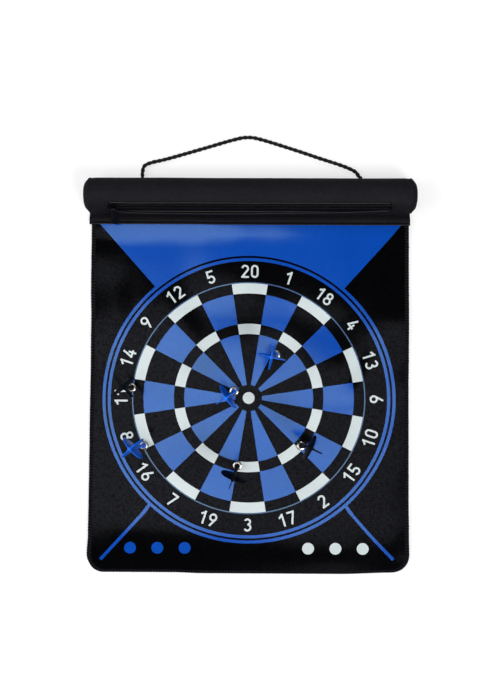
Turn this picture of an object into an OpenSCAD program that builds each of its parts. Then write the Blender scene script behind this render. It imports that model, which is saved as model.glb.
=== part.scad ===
// Roll-up magnetic dartboard with a zipped header tube and six magnetic darts.
// It lies face up on its back. The origin is under the bull, on the back plane.
// +X is to the right of the face, +Y towards the header tube, +Z out of the face.

/* [Mat] */
// Overall width of the mat, edge thread included
mat_w = 350; // [340:1:420]
// Bull centre down to the mat's bottom edge
mat_drop = 191.5; // [185:0.5:230]
// Bull centre up to the lower edge of the hem
mat_rise = 191.5; // [185:0.5:230]
// Radius of the two bottom corners
mat_corner_r = 19; // [12:0.5:30]
// Thickness of the backing cloth
back_t = 0.6; // [0.3:0.1:1.2]
// Thickness of the flexible ferrous core
core_t = 1.1; // [0.6:0.1:2]
// Thickness of the printed vinyl face
face_t = 0.5; // [0.3:0.1:1]
// Width of the overlock seam on the face
overlock_w = 5; // [3:0.5:8]
// Height of the overlock thread above the face
overlock_t = 0.6; // [0.3:0.1:1]
// Thickness of the overlock thread round the edge
overlock_wall = 1; // [0.5:0.1:1.5]

/* [Hem] */
// How far the hem runs past the mat on each side
hem_over = 1; // [0:0.5:4]
// Lower edge of the hem to the middle of its fold
hem_w = 8; // [6.5:0.5:14]
// Thickness of one ply of the hem
hem_t = 0.9; // [0.5:0.1:1.5]
// Depth of mat held inside the hem
hem_cover = 4.5; // [3:0.5:5]

/* [Target] */
// Radius of the white bull
bull_r = 6.5; // [5:0.5:9]
// Radius of the black ring round the bull
bull_ring_r = 14.6; // [11:0.2:20]
// Inner radius of the treble ring
treble_in_r = 70.7; // [60:0.1:75]
// Width of the treble and double rings
score_ring_w = 11.3; // [6:0.1:14]
// Inner radius of the double ring
double_in_r = 115.4; // [100:0.1:118]
// Width of the thin line outside the doubles
line_w = 1.3; // [0.8:0.1:2.5]
// Clear space between the thin line and the numerals
numeral_gap = 4.6; // [1:0.1:8]
// Height of a numeral
digit_h = 14.4; // [10:0.2:15]
// Width of a numeral
digit_w = 8.4; // [7:0.2:10]
// Stroke of a numeral
stroke_w = 2.1; // [1.5:0.1:2.6]
// Space between the two digits of a numeral
digit_gap = 2.2; // [1:0.1:3.5]
// Clear space between the numerals and the border rings
border_clear = 4.2; // [1:0.1:8]
// Width of each border ring
border_w = 3.4; // [2:0.1:4.6]
// Black gap between the border rings
border_gap = 2.3; // [0.8:0.1:2.6]

/* [Corner print] */
// Blue field's upper corners to the overlock seam
field_inset = 3.5; // [0.5:0.5:20]
// Heading at which the blue field's sides meet the border rings
field_foot_a = 49.5; // [40:0.5:58]
// Radius of the corner dots
dot_r = 6.5; // [4:0.1:9]
// Spacing of the corner dots
dot_pitch = 29.8; // [22:0.2:36]
// Innermost blue dot to the border rings
blue_dot_gap = 12.2; // [2:0.1:14]
// Innermost white dot to the border rings
white_dot_gap = 11.5; // [2:0.1:14]
// Middle of the rows of dots to the mat's bottom edge
dot_edge = 26; // [18:0.5:32]
// Width of the diagonal corner lines
corner_line_w = 3.4; // [2:0.2:6]
// Outer end of a corner line to the mat's side and bottom edges
corner_line_edge = 14; // [10:0.5:24]

/* [Header tube] */
// Outside diameter of the header tube
tube_d = 38; // [34:0.5:50]
// Length of the sleeve between its end panels
sleeve_len = 345; // [335:1:420]
// Thickness of the leatherette sleeve
sleeve_t = 1.2; // [0.8:0.1:1.6]
// Thickness of the stiff former inside the sleeve
former_t = 1; // [0.6:0.1:1.6]
// Distance that the tube stands behind the hem's fold
tube_set = 1.5; // [1:0.1:4]
// Thickness of an end panel at its rim
panel_t = 1.5; // [1:0.1:2.5]
// Height of the soft dome on an end panel
panel_dome = 4; // [2:0.5:7]

/* [Zip] */
// End of the sleeve to the end of the zip window
window_inset = 19.5; // [10:0.5:50]
// Width of the zip window
window_w = 10; // [9.6:0.2:12]
// Angle of the zip round the tube, from the top towards the mat
zip_angle = 49; // [40:1:60]
// Thickness of the zip tape
tape_t = 0.6; // [0.4:0.1:0.9]
// Width of tape sewn under the sleeve
tape_lap = 3.5; // [2.5:0.1:4.5]
// Gap between the two rows of teeth
zip_gap = 1.2; // [1.1:0.1:1.6]
// Length of a tooth across the zip
tooth_l = 2.2; // [1.6:0.1:2.4]
// Width of a tooth along the zip
tooth_w = 1.1; // [0.8:0.1:1.3]
// Height of a tooth above the tape
tooth_h = 1.5; // [1:0.1:1.8]
// Spacing of the teeth
tooth_pitch = 2; // [1.8:0.1:3]
// Width of an end stop along the zip
stop_w = 2.2; // [1.5:0.1:3]

/* [Slider] */
// Length of the slider along the zip
slider_l = 9; // [8.8:0.1:12]
// Plate thickness of the slider
slider_t = 1.2; // [0.8:0.1:1.5]
// Thickness of the slider's side walls
slider_wall = 0.9; // [0.6:0.1:1]
// Diameter of the bar that carries the pull tab
bar_d = 1.4; // [1:0.1:1.6]
// Height of the bar's middle above the slider's plate
bar_rise = 2.5; // [2.4:0.1:4]
// Length of the pull tab from the bar's middle to its tip
pull_len = 25; // [20:0.5:28]
// Width of the pull tab
pull_w = 7.6; // [6.4:0.2:9]
// Thickness of the pull tab
pull_t = 1.4; // [0.8:0.1:1.6]
// Slope of the pull tab below level, at rest
pull_slope = 60; // [55:1:66]

/* [Cord] */
// Diameter of the hanging cord
cord_d = 3.4; // [2.5:0.1:4]
// Left end of the sleeve to the left eyelet
eyelet_left_inset = 55; // [30:0.5:75]
// Right end of the sleeve to the right eyelet
eyelet_right_inset = 51; // [30:0.5:75]
// Angle of the eyelets round the tube, from the top away from the mat
eyelet_angle = 120; // [105:1:125]
// Diameter of an eyelet's flange
eyelet_flange_d = 9; // [8:0.5:12]
// Thickness of an eyelet's flange
eyelet_flange_t = 0.8; // [0.5:0.1:1.2]
// Wall of an eyelet's barrel
eyelet_wall = 0.8; // [0.5:0.1:1.2]
// Diameter of a knot inside the tube
knot_d = 8; // [7:0.5:10]

/* [Darts] */
// Diameter of a dart's disc magnet
magnet_d = 10; // [8:0.5:14]
// Thickness of a dart's disc magnet
magnet_t = 5; // [3:0.5:7]
// Radius of the slight crown on the magnet's face
magnet_crown_r = 40; // [36:1:80]
// Diameter of the hole in the magnet
magnet_bore_d = 3; // [2:0.1:4]
// Diameter of the stem at its front
stem_d = 4.4; // [3.6:0.1:6]
// Diameter of the stem at its back
stem_back_d = 3.2; // [3:0.1:3.6]
// Length of the bare stem between magnet and flight
stem_len = 32; // [26:0.5:40]
// Diameter of the stem's tail inside the flight
tail_d = 2.4; // [1.8:0.1:2.6]
// Length of a flight
flight_len = 32; // [24:0.5:40]
// Reach of a fin from the dart's axis
fin_reach = 14.3; // [10:0.1:18]
// Thickness of a fin
fin_t = 0.8; // [0.5:0.1:1.2]
// Diameter of the flight's hub
hub_d = 3.6; // [3.4:0.1:5]

/* [Hidden] */
$fn = 96;

BLACK = [0.11, 0.11, 0.12];
LEATHER = [0.13, 0.13, 0.14];
BLUE = [0.02, 0.26, 0.70];
WHITE = [0.85, 0.88, 0.89];
STEEL = [0.75, 0.76, 0.78];
FELT = [0.2, 0.2, 0.2];
CARD = [0.3, 0.3, 0.3];

// Clearances
skin_gap = 0.1;      // between layers that are glued or sewn together
run_gap = 0.3;       // between pieces that move past each other
pin_gap = 0.06;      // round the bar in the pull tab's eye
seat_gap = 0.05;     // between a magnet and the print it clings to
ink_t = 0.1;         // thickness of the printed ink
cut = 1;             // overshoot of a cutting tool

// Mat and hem
mat_t = back_t + core_t + face_t;
ink_top = mat_t + ink_t;
mat_top_y = mat_rise + hem_cover;
fold_r = (mat_t + hem_t) / 2;
fold_y = mat_rise + hem_w;
hem_len = mat_w + 2 * hem_over;
double_out_r = double_in_r + score_ring_w;
treble_out_r = treble_in_r + score_ring_w;
numeral_r = double_out_r + line_w + numeral_gap + digit_h / 2;
border_in_r = numeral_r + digit_h / 2 + border_clear;
border_mid_r = border_in_r + border_w + border_gap;
border_out_r = border_mid_r + border_w;
dot_drop = mat_drop - dot_edge;
SECTORS = [20, 1, 18, 4, 13, 6, 10, 15, 2, 17, 3, 19, 7, 16, 8, 11, 14, 9, 12, 5];
sector_a = 360 / len(SECTORS);
bowl_share = 0.9;    // upper bowl of a 3 or 8 against the lower one

// Header tube
tube_r = tube_d / 2;
tube_y = fold_y + tube_set + tube_r;
window_len = sleeve_len - 2 * window_inset;
eyelet_left_x = eyelet_left_inset - sleeve_len / 2;
eyelet_right_x = sleeve_len / 2 - eyelet_right_inset;
sleeve_in_r = tube_r - sleeve_t;
layer_r = sleeve_in_r - skin_gap;
former_in_r = layer_r - former_t;
tape_half = window_w / 2 + tape_lap;

// Zip, in a frame whose Z points out of the tube at the zip
tape_in_r = layer_r - tape_t;
tape_len = window_len + 2 * tape_lap;
row_y = (zip_gap + tooth_l) / 2;
row_tilt = asin(row_y / layer_r);
tooth_top = (layer_r + tooth_h) * cos(row_tilt) + tooth_l / 2 * sin(row_tilt);
row_side = (layer_r + tooth_h) * sin(row_tilt) + tooth_l / 2;
stop_x = (window_len - stop_w) / 2 - run_gap;
slider_half_w = row_side + run_gap + slider_wall;
slider_x = -(stop_x - (stop_w + slider_l) / 2 - run_gap);
row_half = stop_x - stop_w / 2 - run_gap;
plate_low = tooth_top + run_gap;
plate_top = plate_low + slider_t;
wing_top = sqrt(pow(tape_in_r, 2) - pow(slider_half_w, 2)) - run_gap;
bar_r = plate_top + bar_rise;
post_w = zip_gap - 2 * skin_gap;
post_l = 2.4;        // length of the slider's centre post along the zip
ear_t = 1.4;         // thickness of each ear that carries the bar
ear_w = 2.2;         // width of each ear across the zip
eye_l = slider_l - 2 * (ear_t + 2 * run_gap) - cut;
eye_wall = 0.9;      // wall of the pull tab's eye round the bar
eye_d = bar_d + 2 * eye_wall;
neck_len = 6;        // narrow stretch of the pull tab next to its eye
pull_hole_d = 3;     // hole near the pull tab's tip

// Eyelets, knots and cord
eyelet_bore_r = cord_d / 2 + run_gap;
eyelet_out_r = eyelet_bore_r + eyelet_wall;
eyelet_in = former_in_r - eyelet_wall;
eyelet_face = tube_r + eyelet_flange_t;
knot_at = eyelet_in - sqrt(pow(knot_d / 2, 2) - pow(eyelet_bore_r, 2)) - skin_gap;
cord_sides = 8;
cord_steps = 4;      // rings on each stretch between two route points
cord_lead = 4;       // straight length of cord out of an eyelet
// Middle of the cord where it lies on the surface, from left to right
CORD_LIE = [
    [-117.5, 248, 2.4], [-115.5, 255, 1.8], [-108, 259.5, 1.8], [-90, 264, 1.8],
    [-50, 275.4, 1.8], [-18, 284.8, 1.8], [-3, 287.4, 1.8], [12, 285.2, 1.8],
    [50, 274, 1.8], [98, 258.5, 1.8], [112, 252.5, 1.8], [120, 245.5, 3]
];

// Darts: name, magnet's place on the mat, lean towards a heading, turn of the fins, colour
DARTS = [
    ["blue_dart_1", [-115, -52], 7.5, 162, 42, BLUE],
    ["blue_dart_2", [-16.3, 8], 7.9, 210, 34, BLUE],
    ["blue_dart_3", [29.4, 48], 6.2, 200, 75, BLUE],
    ["black_dart_1", [-128.7, 11], 4.5, 123, 40, BLACK],
    ["black_dart_2", [-12.7, -73.5], 7.2, 240, 69, BLACK],
    ["black_dart_3", [56.4, -52], 8, 24, 64, BLACK]
];
fins = 4;
spigot_gap = 0.03;   // round the stem's spigot in the magnet and its tail in the flight
spigot_short = 1.5;  // how far the spigot stops short of the magnet's face
spigot_len = magnet_t - spigot_short;
stem_front_z = magnet_t;
collar_t = 1.2;      // collar of the stem on the magnet's back
collar_step = 0.8;   // step from the stem out to its collar
collar_d = stem_d + 2 * collar_step;
groove_depth = 0.3;
groove_d = stem_d - 2 * groove_depth;
groove_w = 1.2;      // width and spacing of the grip grooves
grooves = 4;
flight_z = stem_front_z + stem_len;
tail_short = 10;     // how far the tail stops short of the flight's end
tail_len = flight_len - tail_short;

// Shared shapes

// Mat outline drawn in by inset on its three free edges, as high as top_y
module mat_plate(inset, top_y, t) {
    r = mat_corner_r - inset;
    half = mat_w / 2 - inset;
    low = inset - mat_drop;
    translate([-half, low + r, 0]) cube([2 * half, top_y - low - r, t]);
    translate([-half + r, low, 0]) cube([2 * (half - r), r, t]);
    for (side = [-1, 1]) translate([side * (half - r), low + r, 0]) cylinder(r = r, h = t);
}

// Ring or ring sector of ink, centred on the heading a
module ink_ring(r_in, r_out, a = 0, span = 360) {
    rotate([0, 0, a - span / 2]) rotate_extrude(angle = span)
        translate([r_in, mat_t]) square([r_out - r_in, ink_t]);
}

// Frame on the tube's surface: Z points out of the tube, X along it
module on_tube(a, r = 0, x = 0) {
    translate([x, tube_y, tube_r]) rotate([a, 0, 0]) translate([0, 0, r]) children();
}

// Hollow cylinder along the tube's axis
module tube_shell(r_out, r_in, l) {
    translate([-l / 2, tube_y, tube_r]) rotate([0, 90, 0]) difference() {
        cylinder(r = r_out, h = l);
        translate([0, 0, -cut]) cylinder(r = r_in, h = l + 2 * cut);
    }
}

// Block through the tube's wall at the zip
module zip_cut(l, w) {
    on_tube(zip_angle) translate([-l / 2, -w / 2, former_in_r / 2]) cube([l, w, tube_r]);
}

// Holes through the tube's wall for both eyelets
module eyelet_holes() {
    for (x = [eyelet_left_x, eyelet_right_x])
        on_tube(-eyelet_angle, former_in_r / 2, x) cylinder(r = eyelet_out_r + skin_gap, h = tube_r);
}

// Mat

module backing_cloth() {
    color(FELT) mat_plate(overlock_wall, mat_rise, back_t);
}

module magnetic_core() {
    color(BLACK) translate([0, 0, back_t]) mat_plate(overlock_wall, mat_top_y, core_t);
}

module face_sheet() {
    color(BLACK) translate([0, 0, back_t + core_t]) mat_plate(overlock_wall, mat_top_y, face_t);
}

// Heading of sector i, with the first one at the top
function heading(i) = 90 - i * sector_a;

// Face inside the overlock seam, which trims the print
module free_face() {
    mat_plate(overlock_w + skin_gap, mat_rise, ink_top + cut);
}

module corner_line(side) {
    end = [side * (mat_w / 2 - corner_line_edge), corner_line_edge - mat_drop];
    a = atan2(end[1], end[0]);
    translate([0, 0, mat_t]) rotate([0, 0, a]) translate([border_out_r - border_w / 2, -corner_line_w / 2, 0])
        cube([norm(end) - border_out_r + border_w / 2, corner_line_w, ink_t]);
}

// Three dots outward from the one nearest to the border rings
module dot_row(side, gap) {
    first_r = border_out_r + gap + dot_r;
    first_x = sqrt(pow(first_r, 2) - pow(dot_drop, 2));
    for (i = [0 : 2])
        translate([side * (first_x + i * dot_pitch), -dot_drop, mat_t]) cylinder(r = dot_r, h = ink_t);
}

module blue_field() {
    half_w = mat_w / 2 - overlock_w - field_inset;
    foot = border_out_r * [cos(field_foot_a), sin(field_foot_a)];
    difference() {
        translate([0, 0, mat_t]) linear_extrude(ink_t) polygon([
            [-half_w, mat_rise], [half_w, mat_rise], foot, [-foot[0], foot[1]]
        ]);
        cylinder(r = border_out_r - border_w / 2, h = ink_top + cut);
    }
}

module blue_print() {
    color(BLUE) {
        intersection() {
            union() {
                blue_field();
                ink_ring(border_mid_r, border_out_r);
                for (side = [-1, 1]) corner_line(side);
            }
            free_face();
        }
        intersection() {
            ink_ring(border_in_r, border_in_r + border_w);
            free_face();
        }
        ink_ring(double_out_r, double_out_r + line_w);
        for (i = [1 : 2 : len(SECTORS) - 1]) {
            ink_ring(bull_ring_r, treble_in_r, heading(i), sector_a);
            ink_ring(treble_out_r, double_in_r, heading(i), sector_a);
        }
        dot_row(-1, blue_dot_gap);
    }
}

module white_print() {
    color(WHITE) {
        translate([0, 0, mat_t]) cylinder(r = bull_r, h = ink_t);
        for (i = [0 : 2 : len(SECTORS) - 1]) {
            ink_ring(treble_in_r, treble_out_r, heading(i), sector_a);
            ink_ring(double_in_r, double_out_r, heading(i), sector_a);
        }
        dot_row(1, white_dot_gap);
    }
}

// Straight stroke of a digit between two points
module bar(p, q) {
    translate([p[0], p[1], 0]) rotate([0, 0, atan2(q[1] - p[1], q[0] - p[0])])
        translate([0, -stroke_w / 2, 0]) cube([norm(q - p), stroke_w, ink_t]);
}

// Round stroke of a digit, from heading a over span
module bow(c, r, a = 0, span = 360) {
    translate([c[0], c[1], 0]) rotate([0, 0, a]) rotate_extrude(angle = span)
        translate([r - stroke_w / 2, 0]) square([stroke_w, ink_t]);
}

// One digit about the middle of its box
module digit(n) {
    s = stroke_w / 2;
    w = digit_w / 2 - s;
    h = digit_h / 2 - s;
    waist = h - 2 * w * bowl_share;
    low_r = (waist + h) / 2;
    high_r = (h - waist) / 2;
    if (n == 0) {
        bow([0, h - w], w, 0, 180);
        bow([0, w - h], w, 180, 180);
        for (side = [-1, 1]) bar([side * w, w - h], [side * w, h - w]);
    }
    if (n == 1) {
        bar([s, -h - s], [s, h + s]);
        bar([s, h - s / 3], [-w, h - 2 * s - s]);
    }
    if (n == 2) {
        bow([0, h - w], w, -36, 206);
        bar([w * cos(36), h - w - w * sin(36)], [-w, -h]);
        bar([-w - s, -h], [w + s, -h]);
    }
    if (n == 3) {
        bow([0, h - high_r], high_r, -90, 245);
        bow([0, low_r - h], low_r, -155, 245);
    }
    if (n == 4) {
        bar([s, h + s], [-w, -h / 2]);
        bar([-w - s, -h / 2], [w + s, -h / 2]);
        bar([w * 0.5, -h - s], [w * 0.5, h * 0.25]);
    }
    if (n == 5) {
        bar([-w, h], [w + s / 2, h]);
        bar([-w + s / 3, h + s], [-w + s / 3, low_r - h + low_r * sin(145)]);
        bow([0, low_r - h], low_r, -155, 300);
    }
    if (n == 6) {
        bow([0, low_r - h], low_r);
        bar([-low_r * cos(28), low_r - h + low_r * sin(28)], [s + s / 2, h + s]);
    }
    if (n == 7) {
        bar([-w - s, h], [w + s, h]);
        bar([w, h], [-w * 0.5, -h - s]);
    }
    if (n == 8) {
        bow([0, h - high_r], high_r);
        bow([0, low_r - h], low_r);
    }
    if (n == 9) rotate([0, 0, 180]) digit(6);
}

// A number of one or two digits about its own middle
module number(n) {
    step = (digit_w + digit_gap) / 2;
    if (n < 10) digit(n);
    if (n >= 10) {
        translate([-step, 0, 0]) digit(floor(n / 10));
        translate([step, 0, 0]) digit(n % 10);
    }
}

// Numerals in the upper half stand with their tops outward, in the lower half inward
module numerals() {
    color(WHITE) for (i = [0 : len(SECTORS) - 1]) {
        a = heading(i);
        turn = sin(a) > -0.01 ? -90 : 90;
        rotate([0, 0, a]) translate([numeral_r, 0, mat_t]) rotate([0, 0, turn]) number(SECTORS[i]);
    }
}

// Thread wrapped round the three free edges, flush with the back
module edge_overlock() {
    color(BLACK) difference() {
        mat_plate(0, mat_rise, mat_t + overlock_t);
        translate([0, 0, -cut]) mat_plate(overlock_wall, mat_rise + cut, mat_t + cut);
        mat_plate(overlock_w, mat_rise + cut, mat_t + overlock_t + cut);
    }
}

// Strip folded round the mat's top edge, with its fold towards the tube
module hem_binding() {
    inner_y = mat_top_y + skin_gap;
    color(LEATHER) translate([-hem_len / 2, 0, 0]) difference() {
        union() {
            translate([0, mat_rise, 0]) cube([hem_len, hem_w, 2 * fold_r]);
            translate([0, fold_y, fold_r]) rotate([0, 90, 0]) cylinder(r = fold_r, h = hem_len);
        }
        translate([-cut, mat_rise - cut, back_t]) cube([hem_len + 2 * cut, inner_y - mat_rise + cut, core_t + face_t]);
    }
}

// Header tube

// Leatherette tube with its seam allowance lying flat under it, out to the hem's fold
module header_sleeve() {
    tail_y = fold_y + fold_r + run_gap;
    color(LEATHER) difference() {
        union() {
            tube_shell(tube_r, sleeve_in_r, sleeve_len);
            difference() {
                translate([-sleeve_len / 2, tail_y, 0]) cube([sleeve_len, tube_y - tail_y, sleeve_t]);
                translate([-sleeve_len / 2 - cut, tube_y, tube_r]) rotate([0, 90, 0])
                    cylinder(r = (tube_r + sleeve_in_r) / 2, h = sleeve_len + 2 * cut);
            }
        }
        zip_cut(window_len, window_w);
        eyelet_holes();
    }
}

module tube_former() {
    color(CARD) difference() {
        tube_shell(layer_r, former_in_r, sleeve_len);
        zip_cut(tape_len + 2 * run_gap, 2 * (tape_half + run_gap));
        eyelet_holes();
    }
}

// Soft disc sewn into the tube's end, swelling outward
module end_panel(side) {
    swell_r = (pow(tube_r, 2) + pow(panel_dome, 2)) / (2 * panel_dome);
    color(LEATHER) translate([side * sleeve_len / 2, tube_y, tube_r]) rotate([0, side * 90, 0]) intersection() {
        cylinder(r = tube_r, h = panel_t + panel_dome + cut);
        translate([0, 0, panel_t + panel_dome - swell_r]) sphere(r = swell_r);
    }
}

// Half of the zip's tape: side is 1 above the teeth and -1 below them
module zip_tape(side) {
    half_w = tape_half - zip_gap / 2;
    mid = side * (zip_gap / 2 + half_w / 2);
    color(BLACK) intersection() {
        tube_shell(layer_r, tape_in_r, tape_len);
        on_tube(zip_angle) translate([-tape_len / 2, mid - half_w / 2, former_in_r / 2])
            cube([tape_len, half_w, tube_r]);
    }
}

module zip_teeth(side) {
    count = floor(2 * row_half / tooth_pitch);
    stagger = side * tooth_pitch / 4;
    color(BLACK) on_tube(zip_angle - side * row_tilt, layer_r)
        for (i = [0 : count - 1])
            translate([(i - (count - 1) / 2) * tooth_pitch + stagger - tooth_w / 2, -tooth_l / 2, 0])
                cube([tooth_w, tooth_l, tooth_h]);
}

// Stop across both tapes at each end of the teeth
module zip_end_stops() {
    color(STEEL) on_tube(zip_angle, layer_r) for (side = [-1, 1])
        translate([side * stop_x - stop_w / 2, -row_side, 0]) cube([stop_w, 2 * row_side, tooth_h]);
}

// Two plates joined by a centre post, with side walls and a bar for the pull tab
module zip_slider() {
    half = slider_l / 2;
    color(STEEL) on_tube(zip_angle, 0, slider_x) {
        translate([-half, -slider_half_w, wing_top - slider_t]) cube([slider_l, 2 * slider_half_w, slider_t]);
        translate([-half, -slider_half_w, plate_low]) cube([slider_l, 2 * slider_half_w, slider_t]);
        translate([-half, -post_w / 2, wing_top - slider_t / 2]) cube([post_l, post_w, plate_low - wing_top + slider_t]);
        for (side = [-1, 1])
            translate([-half, side * (slider_half_w - slider_wall / 2) - slider_wall / 2, plate_low - tooth_h / 2])
                cube([slider_l, slider_wall, tooth_h / 2 + slider_t / 2]);
        for (side = [-1, 1])
            translate([side * (half - ear_t / 2) - ear_t / 2, -ear_w / 2, plate_top - slider_t / 2])
                cube([ear_t, ear_w, bar_rise + slider_t / 2 + ear_w / 2]);
        translate([-half, 0, bar_r]) rotate([0, 90, 0]) cylinder(d = bar_d, h = slider_l);
    }
}

// Flat tab that hangs from the slider's bar
module zip_pull_tab() {
    tip_r = pull_w / 2;
    color(BLACK) on_tube(zip_angle, bar_r, slider_x) rotate([pull_slope - zip_angle, 0, 0]) difference() {
        union() {
            translate([-eye_l / 2, 0, 0]) rotate([0, 90, 0]) cylinder(d = eye_d, h = eye_l);
            translate([0, 0, -pull_t / 2]) linear_extrude(pull_t) polygon([
                [-eye_l / 2, 0], [eye_l / 2, 0], [eye_l / 2, -neck_len], [tip_r, -neck_len - tip_r],
                [tip_r, tip_r - pull_len], [-tip_r, tip_r - pull_len],
                [-tip_r, -neck_len - tip_r], [-eye_l / 2, -neck_len]
            ]);
            translate([0, tip_r - pull_len, -pull_t / 2]) cylinder(r = tip_r, h = pull_t);
        }
        translate([-eye_l, 0, 0]) rotate([0, 90, 0]) cylinder(r = bar_d / 2 + pin_gap, h = 2 * eye_l);
        translate([0, tip_r - pull_len, -pull_t]) cylinder(d = pull_hole_d, h = 2 * pull_t);
    }
}

// Cord

module eyelet(x) {
    color(STEEL) on_tube(-eyelet_angle, 0, x) difference() {
        union() {
            translate([0, 0, eyelet_in]) cylinder(r = eyelet_out_r, h = eyelet_face - eyelet_in);
            translate([0, 0, tube_r]) cylinder(d = eyelet_flange_d, h = eyelet_flange_t);
        }
        translate([0, 0, eyelet_in - cut]) cylinder(r = eyelet_bore_r, h = eyelet_face);
    }
}

// End of the cord through the eyelet, with its knot inside the tube
module cord_knot(x) {
    color(BLACK) on_tube(-eyelet_angle, 0, x) {
        translate([0, 0, knot_at]) sphere(d = knot_d);
        translate([0, 0, knot_at]) cylinder(d = cord_d, h = eyelet_face - knot_at);
    }
}

function cord_exit(x, r) = [x, tube_y + r * sin(eyelet_angle), tube_r + r * cos(eyelet_angle)];

// Smooth curve through four points, at t between the middle two
function between(a, b, c, d, t) =
    0.5 * (2 * b + (c - a) * t + (2 * a - 5 * b + 4 * c - d) * t * t + (3 * b - a - 3 * c + d) * t * t * t);

function cord_points(p) = concat(
    [for (i = [0 : len(p) - 2]) for (s = [0 : cord_steps - 1])
        between(p[max(i - 1, 0)], p[i], p[i + 1], p[min(i + 2, len(p) - 1)], s / cord_steps)],
    [p[len(p) - 1]]
);

// Tube of the cord's diameter along the points, square to its first and last stretch
module swept_cord(p) {
    last = len(p) - 1;
    along = [for (i = [0 : last]) p[min(i + 1, last)] - p[max(i - 1, 0)]];
    rings = [for (i = [0 : last])
        let (side = cross([0, 0, 1], along[i] / norm(along[i])), u = side / norm(side),
             v = cross(along[i] / norm(along[i]), u))
        for (k = [0 : cord_sides - 1])
            p[i] + cord_d / 2 * (cos(k * 360 / cord_sides) * u + sin(k * 360 / cord_sides) * v)];
    walls = [for (i = [0 : last - 1]) for (k = [0 : cord_sides - 1])
        let (a = i * cord_sides + k, b = i * cord_sides + (k + 1) % cord_sides)
        each [[a, a + cord_sides, b], [b, a + cord_sides, b + cord_sides]]];
    caps = [for (k = [1 : cord_sides - 2])
        each [[0, k, k + 1], [last * cord_sides, last * cord_sides + k + 1, last * cord_sides + k]]];
    polyhedron(points = rings, faces = concat(walls, caps));
}

module hanging_cord() {
    left = [for (r = [eyelet_face, eyelet_face + cord_lead]) cord_exit(eyelet_left_x, r)];
    right = [for (r = [eyelet_face + cord_lead, eyelet_face]) cord_exit(eyelet_right_x, r)];
    color(BLACK) swept_cord(concat([left[0]], cord_points(concat([left[1]], CORD_LIE, [right[0]])), [right[1]]));
}

// Darts

// Frame of a dart: Z along it from the magnet's face, leaning on the crown of that face
module dart_frame(d) {
    lean = d[2];
    reach = magnet_crown_r * sin(lean);
    at = d[1] + reach * [cos(d[3]), sin(d[3])];
    translate([at[0], at[1], ink_top + seat_gap + magnet_crown_r])
        rotate([0, 0, d[3]]) rotate([0, lean, 0]) rotate([0, 0, d[4] - d[3]])
            translate([0, 0, -magnet_crown_r]) children();
}

module dart_magnet(d) {
    color(STEEL) dart_frame(d) difference() {
        intersection() {
            cylinder(d = magnet_d, h = magnet_t);
            translate([0, 0, magnet_crown_r]) sphere(r = magnet_crown_r);
        }
        translate([0, 0, magnet_t - spigot_len]) cylinder(d = magnet_bore_d, h = magnet_t);
    }
}

module dart_stem(d) {
    grip_z = stem_front_z + 2 * collar_t;
    color(d[5]) dart_frame(d) difference() {
        union() {
            translate([0, 0, magnet_t - spigot_len + skin_gap])
                cylinder(d = magnet_bore_d - 2 * spigot_gap, h = spigot_len);
            translate([0, 0, stem_front_z]) cylinder(d = collar_d, h = collar_t);
            translate([0, 0, stem_front_z]) cylinder(d1 = stem_d, d2 = stem_back_d, h = stem_len);
            translate([0, 0, flight_z]) cylinder(d = tail_d, h = tail_len);
        }
        for (i = [0 : grooves - 1]) translate([0, 0, grip_z + 2 * i * groove_w]) difference() {
            cylinder(d = stem_d + cut, h = groove_w);
            translate([0, 0, -cut]) cylinder(d = groove_d, h = groove_w + 2 * cut);
        }
    }
}

// Four oval fins on a hub that pushes on to the stem's tail
module dart_flight(d) {
    half = flight_len / 2;
    color(d[5]) dart_frame(d) translate([0, 0, flight_z]) difference() {
        union() {
            cylinder(d = hub_d, h = flight_len);
            for (i = [0 : fins - 1]) rotate([90, 0, i * 360 / fins]) translate([0, half, -fin_t / 2])
                linear_extrude(fin_t) polygon([for (a = [-90 : 7.5 : 90]) [fin_reach * cos(a), half * sin(a)]]);
        }
        translate([0, 0, -cut]) cylinder(d = tail_d + 2 * spigot_gap, h = tail_len + spigot_gap + cut);
    }
}

backing_cloth();
magnetic_core();
face_sheet();
blue_print();
white_print();
numerals();
edge_overlock();
hem_binding();
header_sleeve();
tube_former();
end_panel(-1);  // end_panel_left
end_panel(1);  // end_panel_right
zip_tape(1);  // zip_tape_upper
zip_tape(-1);  // zip_tape_lower
zip_teeth(1);  // zip_teeth_upper
zip_teeth(-1);  // zip_teeth_lower
zip_end_stops();
zip_slider();
zip_pull_tab();
eyelet(eyelet_left_x);  // eyelet_left
eyelet(eyelet_right_x);  // eyelet_right
cord_knot(eyelet_left_x);  // cord_knot_left
cord_knot(eyelet_right_x);  // cord_knot_right
hanging_cord();
for (d = DARTS) {
    dart_magnet(d);
    dart_stem(d);
    dart_flight(d);
}
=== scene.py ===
from math import ceil, cos, exp, hypot, pi, radians, sin, tan, tau

import bpy
from bpy.props import FloatProperty, FloatVectorProperty, IntProperty, PointerProperty
from mathutils import Matrix, Vector, noise


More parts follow.
